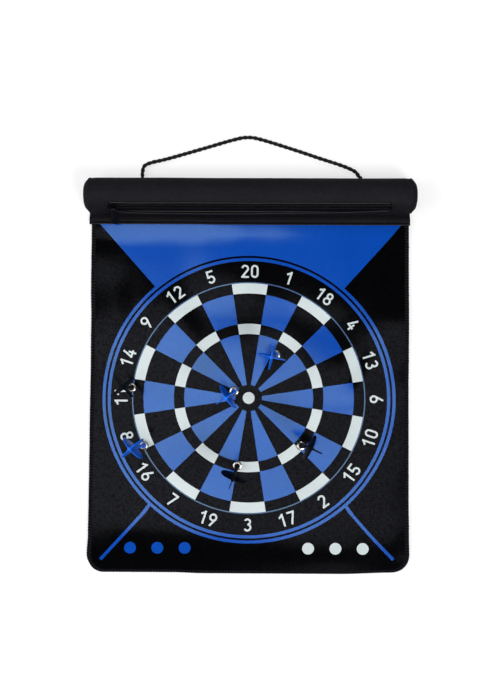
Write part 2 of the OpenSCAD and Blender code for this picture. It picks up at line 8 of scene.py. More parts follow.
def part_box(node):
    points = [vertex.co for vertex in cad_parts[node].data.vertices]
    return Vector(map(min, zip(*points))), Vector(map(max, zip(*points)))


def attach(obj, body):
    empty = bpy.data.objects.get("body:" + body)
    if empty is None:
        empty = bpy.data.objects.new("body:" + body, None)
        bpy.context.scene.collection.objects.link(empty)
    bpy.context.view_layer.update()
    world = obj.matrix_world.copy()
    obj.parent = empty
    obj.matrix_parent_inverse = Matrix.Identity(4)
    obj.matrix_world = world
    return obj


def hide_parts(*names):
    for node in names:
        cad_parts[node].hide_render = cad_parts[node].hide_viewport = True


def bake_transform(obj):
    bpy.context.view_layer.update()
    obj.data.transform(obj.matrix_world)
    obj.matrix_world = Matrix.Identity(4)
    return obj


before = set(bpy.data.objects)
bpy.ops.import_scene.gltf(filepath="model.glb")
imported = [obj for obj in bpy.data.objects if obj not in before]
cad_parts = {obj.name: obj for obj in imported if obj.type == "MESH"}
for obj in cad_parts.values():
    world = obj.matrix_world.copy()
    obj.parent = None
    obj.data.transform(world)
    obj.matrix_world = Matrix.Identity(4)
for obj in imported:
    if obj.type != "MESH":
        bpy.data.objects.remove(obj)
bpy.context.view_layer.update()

bl_info = {
    "name": "Roll-up Dartboard",
    "version": (1, 0, 0),
    "blender": (4, 5, 0),
    "location": "3D View > Sidebar > Dartboard",
    "description": "Dresses the packed dartboard: printed mat, zipped header tube, cord and magnetic darts",
    "category": "Object",
}

MM = 0.001
SIDES = ("left", "right")
DARTS = [f"{plastic}_dart_{i}" for plastic in ("blue", "black") for i in (1, 2, 3)]


def corners(node):
    """Lowest and highest corner of a CAD node's box."""
    low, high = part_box(node)
    return Vector(low), Vector(high)


def centre_of(node):
    low, high = corners(node)
    return (low + high) / 2


SHEET_LOW, SHEET_HIGH = corners("face_sheet")
SEAM_LOW, SEAM_HIGH = corners("edge_overlock")
HEM_LOW, HEM_HIGH = corners("hem_binding")
TUBE_Y, TUBE_Z = centre_of("tube_former").yz
SLEEVE_END = corners("tube_former")[1].x
MAGNETS = [centre_of(dart + "_magnet") for dart in DARTS]

# Points closer than this are one point
MERGE = 1e-6
# Faces that meet at less than this are flat
FLAT = radians(0.5)
# Edges sharper than this, in degrees, are rounded off
SHARP = 30

# Middle of the hanging cord where it lies, in millimetres, from its left eyelet to its right one
CORD_LIE = [
    (-118, 248, 2.4), (-116.1, 255, 1.8), (-108, 258.8, 1.8), (-90, 263.1, 1.8), (-50, 274.6, 1.8), (-18, 284, 1.8),
    (-3, 286.6, 1.8), (12, 284.4, 1.8), (50, 272.7, 1.8), (75, 264.4, 1.8), (98, 257, 1.8), (110.4, 252.2, 1.8),
    (116.4, 248.7, 2.1), (118.8, 245.2, 3),
]
CORD_STEPS = 420
KNOT_STEPS = 72
# Where the cord leaves an eyelet, and which way
EYELET_Y, EYELET_Z = 0.237147, 0.0091
EYELET_FALL = radians(30)
EYELET_OUT = Vector((0, cos(EYELET_FALL), -sin(EYELET_FALL)))

# Loops of thread in the overlock seam, and the steps that draw one
SEAM_LOOPS = 350
LOOP_STEPS = 6
# Middle of the thin blue line outside the doubles, and how far its shade reaches on both sides
LINE_RADIUS = 0.12735
LINE_REACH = 4 * MM
# How the soft mat lies against a flat one: the diagonals of the print sit further in and lower, the lower right
# corner is drawn in and up, and the side edges are drawn in
DIAGONAL_IN_LEFT, DIAGONAL_IN_RIGHT, DIAGONAL_DOWN = 1.05 * MM, 0.9 * MM, 0.9 * MM
CORNER_IN, CORNER_UP = 2.6 * MM, 1.1 * MM
EDGE_IN_LEFT, EDGE_IN_RIGHT = 1.0 * MM, 0.5 * MM
# Radius round a magnet within which the mat lies flat
MAGNET_CALM = 0.03
# Rows of points round the sleeve, and how far the first of them stand off at a turned lip, in millimetres
SLEEVE_ROWS = 84
LIP_ROLL = (-0.9, 0.35, 0.3, -0.35)


def number(name, text, value, **more):
    return FloatProperty(name=name, description=text, default=value, min=0, **more)


def length(name, text, value):
    return number(name, text, value, max=10, precision=5, subtype="DISTANCE", unit="LENGTH")


def power(name, text, value):
    return number(name, text, value, unit="POWER")


def angle(name, text, degrees):
    return FloatProperty(name=name, description=text, default=radians(degrees), subtype="ANGLE", unit="ROTATION")


def colour(name, text, value):
    return FloatVectorProperty(name=name, description=text, default=value, size=3, min=0, max=1, subtype="COLOR")


class StageSettings(bpy.types.PropertyGroup):
    eye: FloatVectorProperty(name="Camera place", description="Where the camera stands, looking straight down",
                             default=(0.0006, 0.053, 1.071), size=3, subtype="XYZ", unit="LENGTH")
    roll: angle("Camera roll", "How far the camera is turned about its line of sight", 0.17)
    lens: FloatProperty(name="Lens", description="Focal length on a 36 mm frame", default=50, min=10, max=200,
                        unit="CAMERA")
    floor: length("Floor", "Side of the floor", 8)
    floor_tone: colour("Floor tone", "Colour of the floor", (0.48, 0.48, 0.48))
    floor_glow: number("Floor glow", "Brightness added to the floor that the camera sees", 0.55)
    sky: number("Sky light", "Strength of the even light from all round", 0.08)
    key_power: power("Key light", "Power of the light at lower right", 36)
    fill_power: power("Fill light", "Power of the wide light at the left", 25)
    rim_power: power("Rim light", "Power of the low strip light behind the tube", 4.2)
    box_power: power("Soft box", "Power of the wide light overhead", 6.0)
    wing_power: power("Soft box wing", "Power added to the left third of the soft box", 0.5)


class CordSettings(bpy.types.PropertyGroup):
    diameter: length("Diameter", "Thickness of the twisted cord", 0.0034)
    lead: length("Lead", "Straight length of cord out of an eyelet", 0.004)
    lay_length: length("Lay", "Length in which a strand goes once round", 0.0115)
    strands: IntProperty(name="Strands", description="Strands twisted together", default=2, min=2, max=5)
    knot: length("Knot", "Width of the knot inside the tube", 0.0078)


class MatSettings(bpy.types.PropertyGroup):
    corner: length("Corner", "Radius of the sheet's lower corners", 0.018)
    wave: length("Wave", "Height of the waves left by rolling the mat up", 0.0009)
    wave_pitch: length("Wave pitch", "Distance between two waves", 0.114)
    hump: length("Hump", "Height of the low hump above the lower edge", 0.0009)
    shoulder: length("Shoulder", "Height of the swelling at the upper left of the target", 0.0007)
    rise: length("Rise", "How far the mat climbs into the hem", 0.0014)
    ripple: length("Ripple", "Lift of the side edges", 0.0008)
    turn: angle("Turn", "How far the mat lies turned against the header", 0.4)
    stretch: length("Stretch", "How far the lower edge is drawn down", 0.0021)
    seam_reach: length("Seam reach", "How far the overlock seam covers the face", 0.0045)
    stitch_pitch: length("Stitch pitch", "Distance between two stitches", 0.0034)


class HeaderSettings(bpy.types.PropertyGroup):
    radius: length("Tube radius", "Radius of the soft tube", 0.0189)
    wall: length("Wall", "Thickness of the leatherette", 0.0011)
    zip_angle: angle("Zip place", "Place of the zip round the tube, from its top towards the mat", 49)
    window: length("Window", "Length of the zip window", 0.306)
    lip: angle("Lip", "Place of the window's lips from the zip", 15.3)
    sag: angle("Sag", "How far the lower lip hangs open", 20)


class ZipSettings(bpy.types.PropertyGroup):
    pitch: length("Pitch", "Distance between two teeth of a row", 0.002)
    row: length("Row", "Distance of a row from the zip's middle", 0.0017)
    tape: length("Tape", "Radius at which the tape lies in the tube", 0.0175)
    edge: length("Edge", "Rounding of the metal edges", 0.0002)


class DartSettings(bpy.types.PropertyGroup):
    magnet_edge: length("Magnet edge", "Rounding of a magnet's rim", 0.0005)
    magnet_slope: angle("Magnet slope", "Fall of a magnet's back from the stem's collar to the rim", 14)
    shelf: length("Shelf", "Radius of the flat under the stem's collar", 0.0031)
    bore: length("Bore", "Radius of the hole in a magnet", 0.0015)
    bore_depth: length("Bore depth", "Depth of the hole in a magnet", 0.0035)
    fin_edge: length("Fin edge", "Rounding of a fin's rim", 0.0002)


class FinishSettings(bpy.types.PropertyGroup):
    vinyl: colour("Vinyl", "Black face of the mat", (0.00075, 0.00080, 0.00100))
    blue: colour("Blue", "Blue ink of the print", (0.0004, 0.058, 0.4))
    line: colour("Thin line", "Paler blue of the thin line outside the doubles", (0.045, 0.085, 0.22))
    white: colour("White", "Pale ink of the print", (0.56, 0.63, 0.64))
    backing: colour("Backing", "Cloth on the back of the mat", (0.03, 0.03, 0.032))
    leatherette: colour("Leatherette", "Header tube and hem", (0.0062, 0.0059, 0.0077))
    # Painted highlight: the pale colour of the tubes along the lips and along the hem's front edge
    cut_edge: colour("Cut edge", "Pale tube colour painted as the highlight along the leatherette's edges", (0.028, 0.028, 0.031))
    thread: colour("Thread", "Sewing thread", (0.0016, 0.0016, 0.002))
    tape: colour("Tape", "Woven tape of the zip", (0.0018, 0.0018, 0.0022))
    former: colour("Former", "Card inside the tube", (0.07, 0.07, 0.07))
    nylon: colour("Nylon", "Teeth of the zip", (0.006, 0.006, 0.007))
    gunmetal: colour("Gunmetal", "Dark metal of the slider and eyelets", (0.02, 0.02, 0.021))
    lacquer: colour("Lacquer", "Black pull tab", (0.003, 0.003, 0.0035))
    cord: colour("Cord", "Twisted hanging cord", (0.007, 0.007, 0.0085))
    nickel: colour("Nickel", "Plated magnets of the darts", (0.46, 0.45, 0.43))
    dart_blue: colour("Dart blue", "Plastic of the blue darts", (0.001, 0.125, 0.68))
    dart_black: colour("Dart black", "Plastic of the black darts", (0.003, 0.003, 0.0038))


class DartboardSettings(bpy.types.PropertyGroup):
    stage: PointerProperty(type=StageSettings)
    cord: PointerProperty(type=CordSettings)
    mat: PointerProperty(type=MatSettings)
    header: PointerProperty(type=HeaderSettings)
    zip: PointerProperty(type=ZipSettings)
    darts: PointerProperty(type=DartSettings)
    finish: PointerProperty(type=FinishSettings)


def settings():
    return bpy.context.scene.dartboard


# Nodes and finishes

def feed(tree, node, inputs):
    """Links the node's inputs to sockets, or sets them to values."""
    for name, value in inputs.items():
        if isinstance(value, bpy.types.NodeSocket):
            tree.links.new(value, node.inputs[name])
        else:
            node.inputs[name].default_value = value
    return node


def put(tree, kind, inputs=None, **values):
    """A new node with its settings from values."""
    made = tree.nodes.new(kind)
    for name, value in values.items():
        setattr(made, name, value)
    return feed(tree, made, inputs or {})


def maths(tree, operation, a, b=0.0, c=0.0):
    return put(tree, "ShaderNodeMath", {0: a, 1: b, 2: c}, operation=operation).outputs[0]


def vectors(tree, operation, inputs):
    return put(tree, "ShaderNodeVectorMath", inputs, operation=operation).outputs


def clouds(tree, here, scale, detail, **more):
    return put(tree, "ShaderNodeTexNoise", {"Vector": here, "Scale": scale, "Detail": detail, **more}).outputs


def place_of(tree):
    return put(tree, "ShaderNodeTexCoord").outputs["Object"]


def new_group(name, outputs, **inputs):
    """An empty effect that takes a vector and the numbers named in inputs."""
    group = bpy.data.node_groups.new(name, "ShaderNodeTree")
    group.interface.new_socket(name="Vector", in_out="INPUT", socket_type="NodeSocketVector")
    for label, value in inputs.items():
        group.interface.new_socket(name=label, in_out="INPUT", socket_type="NodeSocketFloat").default_value = value
    for label in outputs:
        group.interface.new_socket(name=label, in_out="OUTPUT", socket_type="NodeSocketFloat")
    return group, group.nodes.new("NodeGroupInput").outputs, group.nodes.new("NodeGroupOutput")


def weave_group():
    """Plain weave: threads pass over and under each other."""
    tree, given, out = new_group("Weave", ["Height", "Tone"], Threads=800.0)
    wobble = clouds(tree, given["Vector"], 120.0, 2.0)
    drift = vectors(tree, "SCALE", {0: wobble["Color"], "Scale": 0.0004})[0]
    moved = vectors(tree, "ADD", {0: given["Vector"], 1: drift})[0]
    scaled = vectors(tree, "SCALE", {0: moved, "Scale": given["Threads"]})[0]
    parts = put(tree, "ShaderNodeSeparateXYZ", {0: scaled}).outputs
    across = maths(tree, "SINE", maths(tree, "MULTIPLY", parts["X"], pi))
    along = maths(tree, "SINE", maths(tree, "MULTIPLY", parts["Y"], pi))
    over = maths(tree, "GREATER_THAN", maths(tree, "MULTIPLY", across, along), 0.0)
    height = put(tree, "ShaderNodeMix", {"Factor": over, 2: maths(tree, "ABSOLUTE", along),
                                         3: maths(tree, "ABSOLUTE", across)}).outputs[0]
    feed(tree, out, {"Height": height, "Tone": maths(tree, "MULTIPLY_ADD", height, 0.6, wobble["Fac"])})
    return tree


def grain_group():
    """Pebbled leather grain with finer creases in it."""
    tree, given, out = new_group("Grain", ["Height", "Tone"], Cells=900.0)
    cells = put(tree, "ShaderNodeTexVoronoi", {"Vector": given["Vector"], "Scale": given["Cells"]},
                feature="SMOOTH_F1").outputs
    crease = clouds(tree, given["Vector"], 260.0, 5.0)
    height = maths(tree, "MULTIPLY_ADD", cells["Distance"], -0.7, crease["Fac"])
    feed(tree, out, {"Height": height, "Tone": maths(tree, "MULTIPLY_ADD", height, 0.5, 0.45)})
    return tree


def mottle_group():
    """Slow change over a surface, between a low and a high value."""
    tree, given, out = new_group("Mottle", ["Value"], Size=12.0, Low=0.0, High=1.0)
    cloud = clouds(tree, given["Vector"], given["Size"], 4.0, Roughness=0.55)
    spread = put(tree, "ShaderNodeMapRange", {"Value": cloud["Fac"], "From Min": 0.3, "From Max": 0.7,
                                              "To Min": given["Low"], "To Max": given["High"]})
    feed(tree, out, {"Value": spread.outputs[0]})
    return tree


def slub_group():
    """Uneven threads of a cloth under a thin skin: thick and thin places along and across."""
    tree, given, out = new_group("Slub", ["Value"], Size=760.0)
    ways = []
    for stretch in ((1.0, 0.3, 1.0), (0.3, 1.0, 1.0)):
        laid = put(tree, "ShaderNodeMapping", {"Vector": given["Vector"], "Scale": stretch}).outputs[0]
        ways.append(clouds(tree, laid, given["Size"], 1.0)["Fac"])
    spread = put(tree, "ShaderNodeMapRange", {"Value": maths(tree, "ADD", *ways), "From Min": 0.7, "From Max": 1.3})
    feed(tree, out, {"Value": spread.outputs[0]})
    return tree


def yarn_group():
    """Fibres that wind round a thread: turns along it and plies round it."""
    tree, given, out = new_group("Yarn", ["Height", "Tone"], Turns=200.0, Plies=3.0, Sharp=1.0)
    parts = put(tree, "ShaderNodeSeparateXYZ", {0: given["Vector"]}).outputs
    wind = maths(tree, "MULTIPLY_ADD", parts["X"], given["Turns"], maths(tree, "MULTIPLY", parts["Y"], given["Plies"]))
    wave = maths(tree, "ABSOLUTE", maths(tree, "SINE", maths(tree, "MULTIPLY", wind, pi)))
    fuzz = clouds(tree, given["Vector"], 90.0, 3.0)
    height = maths(tree, "MULTIPLY_ADD", fuzz["Fac"], 0.4, maths(tree, "POWER", wave, given["Sharp"]))
    # Tone follows the height: darker in the grooves between turns, lighter on their crests
    feed(tree, out, {"Height": height, "Tone": maths(tree, "MULTIPLY", height, 0.8)})
    return tree


def scuff_group():
    """Fine scratches that run one way, and a few blurred rubs."""
    tree, given, out = new_group("Scuff", ["Height", "Rub"], Fine=900.0)
    turned = put(tree, "ShaderNodeMapping", {"Vector": given["Vector"], "Rotation": (0.3, 0.2, 0.7),
                                             "Scale": (1.0, 0.08, 1.0)}).outputs[0]
    lines = clouds(tree, turned, given["Fine"], 3.0)
    rub = clouds(tree, given["Vector"], 140.0, 4.0)
    feed(tree, out, {"Height": lines["Fac"], "Rub": maths(tree, "MULTIPLY", lines["Fac"], rub["Fac"])})
    return tree


def effect(tree, build, **inputs):
    """The shared effect as a node, made once for all materials."""
    label = build.__name__.removesuffix("_group").capitalize()
    made = put(tree, "ShaderNodeGroup", node_tree=bpy.data.node_groups.get(label) or build())
    return feed(tree, made, inputs).outputs


def start_material(name, slot, **sockets):
    made = bpy.data.materials.new(name)
    made.use_nodes = True
    made["slot"] = slot
    surface = made.node_tree.nodes["Principled BSDF"]
    for label, value in sockets.items():
        surface.inputs[label.replace("_", " ")].default_value = value
    return made, made.node_tree, surface


def tint(tree, surface, shade, tone, dark, light):
    """Base colour that runs from dark to light times the shade as tone goes from 0 to 1."""
    mix = put(tree, "ShaderNodeMix", {0: tone}, data_type="RGBA")
    mix.inputs["A"].default_value = [min(1, c * dark) for c in shade] + [1]
    mix.inputs["B"].default_value = [min(1, c * light) for c in shade] + [1]
    tree.links.new(mix.outputs["Result"], surface.inputs["Base Color"])


def pale_line(tree, surface, here, shade):
    """Gives the thin line outside the doubles its own, paler shade."""
    flat = vectors(tree, "MULTIPLY", {0: here, 1: (1, 1, 0)})[0]
    away = vectors(tree, "LENGTH", {0: flat})["Value"]
    mix = put(tree, "ShaderNodeMix", {0: maths(tree, "COMPARE", away, LINE_RADIUS, LINE_REACH)}, data_type="RGBA")
    tree.links.new(surface.inputs["Base Color"].links[0].from_socket, mix.inputs["A"])
    mix.inputs["B"].default_value = [*shade, 1]
    tree.links.new(mix.outputs["Result"], surface.inputs["Base Color"])


def relief(tree, surface, height, strength, depth):
    bump = put(tree, "ShaderNodeBump", {"Height": height, "Strength": strength, "Distance": depth})
    feed(tree, surface, {"Normal": bump.outputs[0]})


def print_finish(name, slot, shade, dark, light, rough, gloss, uneven, sheen=(1, 1, 1), line=None):
    """Vinyl face or the satin ink on it: the cloth below shows through as uneven shine and a soft relief."""
    made, tree, surface = start_material(name, slot, Specular_Tint=(*sheen, 1))
    here = place_of(tree)
    slub = effect(tree, slub_group, Vector=here)
    shine = maths(tree, "MULTIPLY_ADD", slub["Value"], uneven * gloss, (1 - uneven / 2) * gloss)
    cloth = effect(tree, weave_group, Vector=here, Threads=760.0)
    cloud = effect(tree, mottle_group, Vector=here, Size=16.0, Low=rough[0], High=rough[1])
    tone = effect(tree, mottle_group, Vector=here, Size=5.0)
    worn = maths(tree, "MULTIPLY_ADD", slub["Value"], 0.5, maths(tree, "MULTIPLY", tone["Value"], 0.25))
    tint(tree, surface, shade, maths(tree, "MULTIPLY_ADD", cloth["Tone"], 0.2, worn), dark, light)
    if line:
        pale_line(tree, surface, here, line)
    feed(tree, surface, {"Specular IOR Level": shine, "Roughness": cloud["Value"]})
    relief(tree, surface, cloth["Height"], 0.04, 0.00006)
    return made


def leather_finish(name, slot, shade):
    made, tree, surface = start_material(name, slot, Specular_IOR_Level=0.07)
    here = place_of(tree)
    skin = effect(tree, grain_group, Vector=here, Cells=650.0)
    cloud = effect(tree, mottle_group, Vector=here, Size=22.0, Low=0.5, High=0.68)
    tint(tree, surface, shade, skin["Tone"], 0.1, 2.6)
    feed(tree, surface, {"Roughness": cloud["Value"]})
    relief(tree, surface, skin["Height"], 0.6, 0.0002)
    return made


def cloth_finish(name, slot, shade, threads):
    made, tree, surface = start_material(name, slot, Roughness=0.9, Specular_IOR_Level=0.08)
    cloth = effect(tree, weave_group, Vector=place_of(tree), Threads=threads)
    tint(tree, surface, shade, cloth["Tone"], 0.5, 1.5)
    relief(tree, surface, cloth["Height"], 0.7, 0.0002)
    return made


def yarn_finish(name, slot, shade, turns, plies, dark=0.45, light=1.9, sharp=1.0, gloss=0.12):
    made, tree, surface = start_material(name, slot, Roughness=0.8, Specular_IOR_Level=gloss)
    run = put(tree, "ShaderNodeTexCoord").outputs["UV"]
    twist = effect(tree, yarn_group, Vector=run, Turns=turns, Plies=plies, Sharp=sharp)
    tint(tree, surface, shade, twist["Tone"], dark, light)
    relief(tree, surface, twist["Height"], 0.7, 0.00015)
    return made


def metal_finish(name, slot, shade, rough, fine):
    made, tree, surface = start_material(name, slot, Metallic=1.0)
    rub = effect(tree, scuff_group, Vector=place_of(tree), Fine=fine)
    tint(tree, surface, shade, rub["Rub"], 0.85, 1.2)
    feed(tree, surface, {"Roughness": maths(tree, "MULTIPLY_ADD", rub["Rub"], 0.35, rough)})
    relief(tree, surface, rub["Height"], 0.12, 0.00005)
    return made


def plastic_finish(name, slot, shade, rough, gloss):
    made, tree, surface = start_material(name, slot, Specular_IOR_Level=gloss)
    here = place_of(tree)
    rub = effect(tree, scuff_group, Vector=here, Fine=700.0)
    cloud = effect(tree, mottle_group, Vector=here, Size=60.0)
    tint(tree, surface, shade, cloud["Value"], 0.8, 1.2)
    feed(tree, surface, {"Roughness": maths(tree, "MULTIPLY_ADD", rub["Rub"], 0.4, rough)})
    relief(tree, surface, rub["Height"], 0.08, 0.00006)
    return made


def finish(name):
    """The named finish, made the first time it is asked for."""
    made = bpy.data.materials.get(name)
    if made:
        return made
    s = settings().finish
    ink = dict(rough=(0.12, 0.16), uneven=0.2)
    makers = {
        "satin_vinyl": (print_finish, "vinyl_face", s.vinyl, dict(
            dark=0.3, light=2.4, rough=(0.1, 0.135), gloss=0.06, uneven=0.9, sheen=(0.82, 0.84, 1.0))),
        "satin_blue_ink": (print_finish, "blue_ink", s.blue, dict(
            dark=0.85, light=1.12, gloss=0.6, sheen=(0.52, 0.82, 0.66), line=s.line, **ink)),
        "satin_pale_ink": (print_finish, "white_ink", s.white, dict(dark=0.95, light=1.04, gloss=0.4, **ink)),
        "woven_backing": (cloth_finish, "backing", s.backing, dict(threads=900.0)),
        "grained_leatherette": (leather_finish, "leatherette", s.leatherette, {}),
        # Pale tubes along the lips and the hem's front: a painted highlight on those edges
        "cut_edge": (leather_finish, "leatherette", s.cut_edge, {}),
        # Seam thread: black between the loops and up to 13 times lighter on their crests, in step with the modelled
        # loops: painted shade and painted highlight
        "seam_thread": (yarn_finish, "thread", s.thread, dict(
            turns=SEAM_LOOPS, plies=2.0, dark=0.0, light=13.0, sharp=7.0, gloss=0.0)),
        "stitch_thread": (yarn_finish, "thread", s.thread, dict(turns=6.0, plies=2.0, dark=0.2, light=0.6)),
        "woven_tape": (cloth_finish, "zip_tape", s.tape, dict(threads=1400.0)),
        "former_card": (plastic_finish, "former", s.former, dict(rough=0.6, gloss=0.5)),
        "zip_nylon": (plastic_finish, "zip_teeth", s.nylon, dict(rough=0.35, gloss=0.2)),
        "gunmetal": (metal_finish, "zip_metal", s.gunmetal, dict(rough=0.3, fine=900.0)),
        "pull_lacquer": (plastic_finish, "pull_tab", s.lacquer, dict(rough=0.35, gloss=0.15)),
        "cord_yarn": (yarn_finish, "cord", s.cord, dict(turns=420.0, plies=4.0)),
        "nickel": (metal_finish, "magnet", s.nickel, dict(rough=0.16, fine=1500.0)),
        "dart_blue": (plastic_finish, "blue_plastic", s.dart_blue, dict(rough=0.3, gloss=0.2)),
        "dart_black": (plastic_finish, "black_plastic", s.dart_black, dict(rough=0.4, gloss=0.03)),
    }
    maker, slot, shade, values = makers[name]
    return maker(name, slot, shade, **values)


# Modelling helpers

def clear():
    if bpy.context.mode != "OBJECT":
        bpy.ops.object.mode_set(mode="OBJECT")
    bpy.ops.object.select_all(action="DESELECT")


def pick(*pieces):
    clear()
    for piece in pieces:
        piece.select_set(True)
    bpy.context.view_layer.objects.active = pieces[0]


def named(name):
    """The primitive just added, under the piece's own name."""
    piece = bpy.context.object
    piece.name = piece.data.name = name
    return piece


def grid(name, columns, rows, place):
    """A grid whose points go to place(u, v), with u along its columns and v along its rows, both from 0 to 1."""
    clear()
    bpy.ops.mesh.primitive_grid_add(x_subdivisions=columns, y_subdivisions=rows, size=1, calc_uvs=True)
    piece = named(name)
    for point in piece.data.vertices:
        point.co = place(point.co.x + 0.5, point.co.y + 0.5)
    return piece


def merge(piece, reach=MERGE):
    """Makes one point of those that meet. The piece stays open for editing, with all of it selected."""
    pick(piece)
    bpy.ops.object.mode_set(mode="EDIT")
    bpy.ops.mesh.select_all(action="SELECT")
    bpy.ops.mesh.remove_doubles(threshold=reach)


def close(piece, reach=MERGE, fill=True):
    """Merges the edges that meet, fills the open ends and turns the faces outward."""
    merge(piece, reach)
    if fill:
        bpy.ops.mesh.fill_holes(sides=0)
    bpy.ops.mesh.select_all(action="SELECT")
    bpy.ops.mesh.normals_make_consistent(inside=False)
    clear()


def modify(piece, kind, **values):
    pick(piece)
    modifier = piece.modifiers.new(kind.title(), kind)
    for name, value in values.items():
        setattr(modifier, name, value)
    bpy.ops.object.modifier_apply(modifier=modifier.name)


def smooth(piece, degrees=180):
    pick(piece)
    if degrees >= 180:
        bpy.ops.object.shade_smooth()
    else:
        bpy.ops.object.shade_smooth_by_angle(angle=radians(degrees))


def join(name, pieces):
    pick(*pieces)
    bpy.ops.object.join()
    return named(name)


def repeat(name, model, places):
    """One piece made of a copy of the model at each place, instead of the model."""
    mesh = model.data
    copies = []
    for place in places:
        copy = bpy.data.objects.new(name, mesh.copy())
        bpy.context.collection.objects.link(copy)
        copy.data.transform(place)
        copies.append(copy)
    bpy.data.objects.remove(model)
    bpy.data.meshes.remove(mesh)
    return join(name, copies)


def dress(piece, *finishes):
    """Gives the piece its finishes."""
    piece.data.materials.clear()
    for name in finishes:
        piece.data.materials.append(finish(name))
    finish(finishes[0])["slot"]


def settle(piece, body, nodes, *finishes):
    """Finishes the piece, puts it on its body and lets it stand for its CAD nodes."""
    dress(piece, *finishes)
    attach(piece, body)
    if nodes:
        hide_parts(*nodes)
    return piece


def copy_of(node, name):
    """A copy of a CAD node without its needless edges. It stays open for editing."""
    piece = bpy.data.objects.new(name, bpy.data.objects[node].data.copy())
    bpy.context.collection.objects.link(piece)
    merge(piece)
    bpy.ops.mesh.dissolve_limited(angle_limit=FLAT)
    return piece


def eased(node, edge):
    """A copy of a CAD node with its sharp edges rounded off."""
    piece = copy_of(node, node + "_piece")
    modify(piece, "BEVEL", width=edge, segments=2, limit_method="ANGLE", angle_limit=radians(SHARP + 5),
           use_clamp_overlap=True)
    smooth(piece, SHARP)
    return piece


def catmull(points, steps):
    """A smooth line through the points, with steps to each stretch."""
    ends = [2 * points[0] - points[1], *points, 2 * points[-1] - points[-2]]
    line = []
    for a, b, c, d in zip(ends, ends[1:], ends[2:], ends[3:]):
        for i in range(steps):
            t = i / steps
            line.append(0.5 * (2 * b + (c - a) * t + (2 * a - 5 * b + 4 * c - d) * t ** 2
                               + (3 * b - a - 3 * c + d) * t ** 3))
    return line + [points[-1]]


def even(line, count):
    """The same line in count equal steps, and its length."""
    runs = [0.0]
    for a, b in zip(line, line[1:]):
        runs.append(runs[-1] + (b - a).length)
    out, at = [], 0
    for i in range(count + 1):
        goal = runs[-1] * i / count
        while at < len(runs) - 2 and runs[at + 1] < goal:
            at += 1
        out.append(line[at].lerp(line[at + 1], (goal - runs[at]) / (runs[at + 1] - runs[at])))
    return out, runs[-1]


def cross_axes(line):
    """Two axes square to the line at each of its points, carried along it without twist."""
    frames, side = [], Vector((0, 0, 1))
    for i in range(len(line)):
        ahead = (line[min(i + 1, len(line) - 1)] - line[max(i - 1, 0)]).normalized()
        side = (side - ahead * side.dot(ahead)).normalized()
        frames.append((side.copy(), ahead.cross(side)))
    return frames


def tube(name, line, radius, sides, closed=False):
    """A round tube along the line."""
    axes = cross_axes(line)
    last = len(line) - 1

    def place(u, v):
        i = round(u * last)
        a = tau * v
        return line[i] + radius * (cos(a) * axes[i][0] + sin(a) * axes[i][1])

    piece = grid(name, last, sides, place)
    close(piece, 10 * MERGE if closed else MERGE, not closed)
    smooth(piece)
    return piece


def stitch(long, thick):
    """One sewn stitch, lying along X."""
    clear()
    bpy.ops.mesh.primitive_uv_sphere_add(segments=6, ring_count=5, radius=0.5, rotation=(0, pi / 2, 0))
    piece = named("stitch")
    bpy.ops.object.transform_apply(location=False, rotation=True, scale=False)
    piece.data.transform(Matrix.Diagonal((long, thick, thick * 0.8, 1)))
    smooth(piece)
    return piece


def ramp(value, start, end):
    """Goes smoothly from 0, where the value is at the start, to 1, where it is at the end."""
    t = max(0.0, min(1.0, (value - start) / (end - start)))
    return t * t * (3 - 2 * t)


def wander(*at):
    """Smooth, repeatable unevenness, from -1 to 1."""
    return noise.noise(Vector(at))


def mound(value, middle, width):
    """Is 1 in the middle and falls off smoothly on both sides."""
    return exp(-((value - middle) / width) ** 2)


def lift(x, y):
    """How far the soft mat stands off the surface at a place of the flat one."""
    s = settings().mat
    # Flat at the hem and under the magnets
    calm = ramp(y, HEM_LOW.y + 4.5 * MM, HEM_LOW.y + 0.5 * MM)
    for magnet in MAGNETS:
        calm *= 1 - mound(x, magnet.x, MAGNET_CALM) * mound(y, magnet.y, MAGNET_CALM)
    # Waves from rolling, which lie lower in the middle and die out above the target
    across = ramp(x, -0.095, -0.045) * ramp(x, 0.14, 0.1) * ramp(y, -0.03, 0.03)
    crest = (0.38 + 0.14 * ramp(x, 0.03, 0.08)) * across
    flat_from, fade = 0.118 - 0.024 * ramp(x, -0.02, 0.02), 0.016
    along = y if y < flat_from else flat_from + fade * (1 - exp((flat_from - y) / fade))
    roll = (0.5 + 0.5 * sin(tau * (along / s.wave_pitch + crest + 0.527))) * (1 + 0.6 * across)
    swell = s.wave * roll * ramp(y, SHEET_LOW.y - 4 * MM, SHEET_LOW.y + 26 * MM)
    # A hump above the lower edge, a swelling at upper left, the climb into the hem and rippled sides
    swell += s.hump * mound(y, -0.142, 0.036)
    swell += s.shoulder * mound(y, 0.105, 0.045) * (1 - across) * ramp(x, -0.15, -0.12)
    swell += s.rise * ramp(y, 0.171, 0.193) * (1 - 0.85 * ramp(x, 0.015, 0.115))
    ripple = 0.5 + 0.5 * sin(tau * y / 0.083 + (0.8 if x > 0 else 2.4))
    return calm * (swell + s.ripple * ramp(abs(x), 0.13, 0.175) * ripple)


